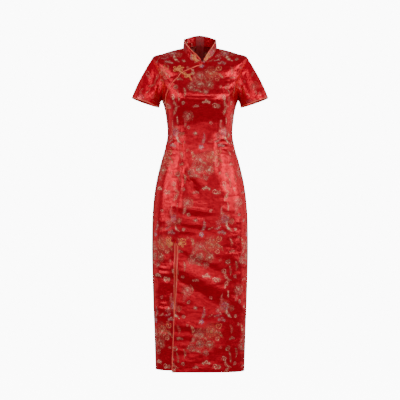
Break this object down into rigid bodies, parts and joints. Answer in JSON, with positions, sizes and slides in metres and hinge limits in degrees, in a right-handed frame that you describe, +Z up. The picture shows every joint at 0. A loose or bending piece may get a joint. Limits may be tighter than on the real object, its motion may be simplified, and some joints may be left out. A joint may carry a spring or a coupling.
{
  "type": "cheongsam dress",
  "caption": "Long fitted cheongsam dress with standing collar, slanted front opening, short sleeves, front slit and frog fastenings, held open as worn.",
  "frame": {"origin": "middle of the neck, level with the shoulder seams", "axes": "+X to the wearer's left, front faces -Y, +Z up"},
  "size_m": [0.5302, 0.2628, 1.3018],
  "materials": {
    "satin": "red satin brocade",
    "piping": "coral satin cord",
    "frog": "gold and coral cord",
    "plain": "plain red satin",
    "metal": "red enamel"
  },
  "bodies": {
    "dress": {"front": "satin", "front_yoke": "satin", "back_left": "satin", "back_right": "satin", "sleeve_left": "satin", "sleeve_right": "satin", "collar_left": "satin", "collar_right": "satin", "piping_opening": "piping", "piping_collar_left": "piping", "piping_collar_right": "piping", "piping_slit_main": "piping", "piping_slit_side": "piping", "piping_sleeve_left": "piping", "piping_sleeve_right": "piping", "slit_underlap": "plain", "zip_tape_left": "plain", "zip_tape_right": "plain", "frog_chest_upper": "frog", "frog_chest_lower": "frog", "frog_slit_main": "frog", "frog_slit_side": "frog", "frog_collar_left": "frog", "frog_collar_right": "frog", "zip_slider": "metal"},
    "zip_pull": {"zip_pull": "metal"}
  },
  "joints": [
    {"name": "zip_pull_hinge", "type": "hinge", "parent": "dress", "child": "zip_pull", "pos_m": [0, 0.0566, 0.049], "axis": [1, 0, 0], "range_deg": [0, 150]}
  ]
}
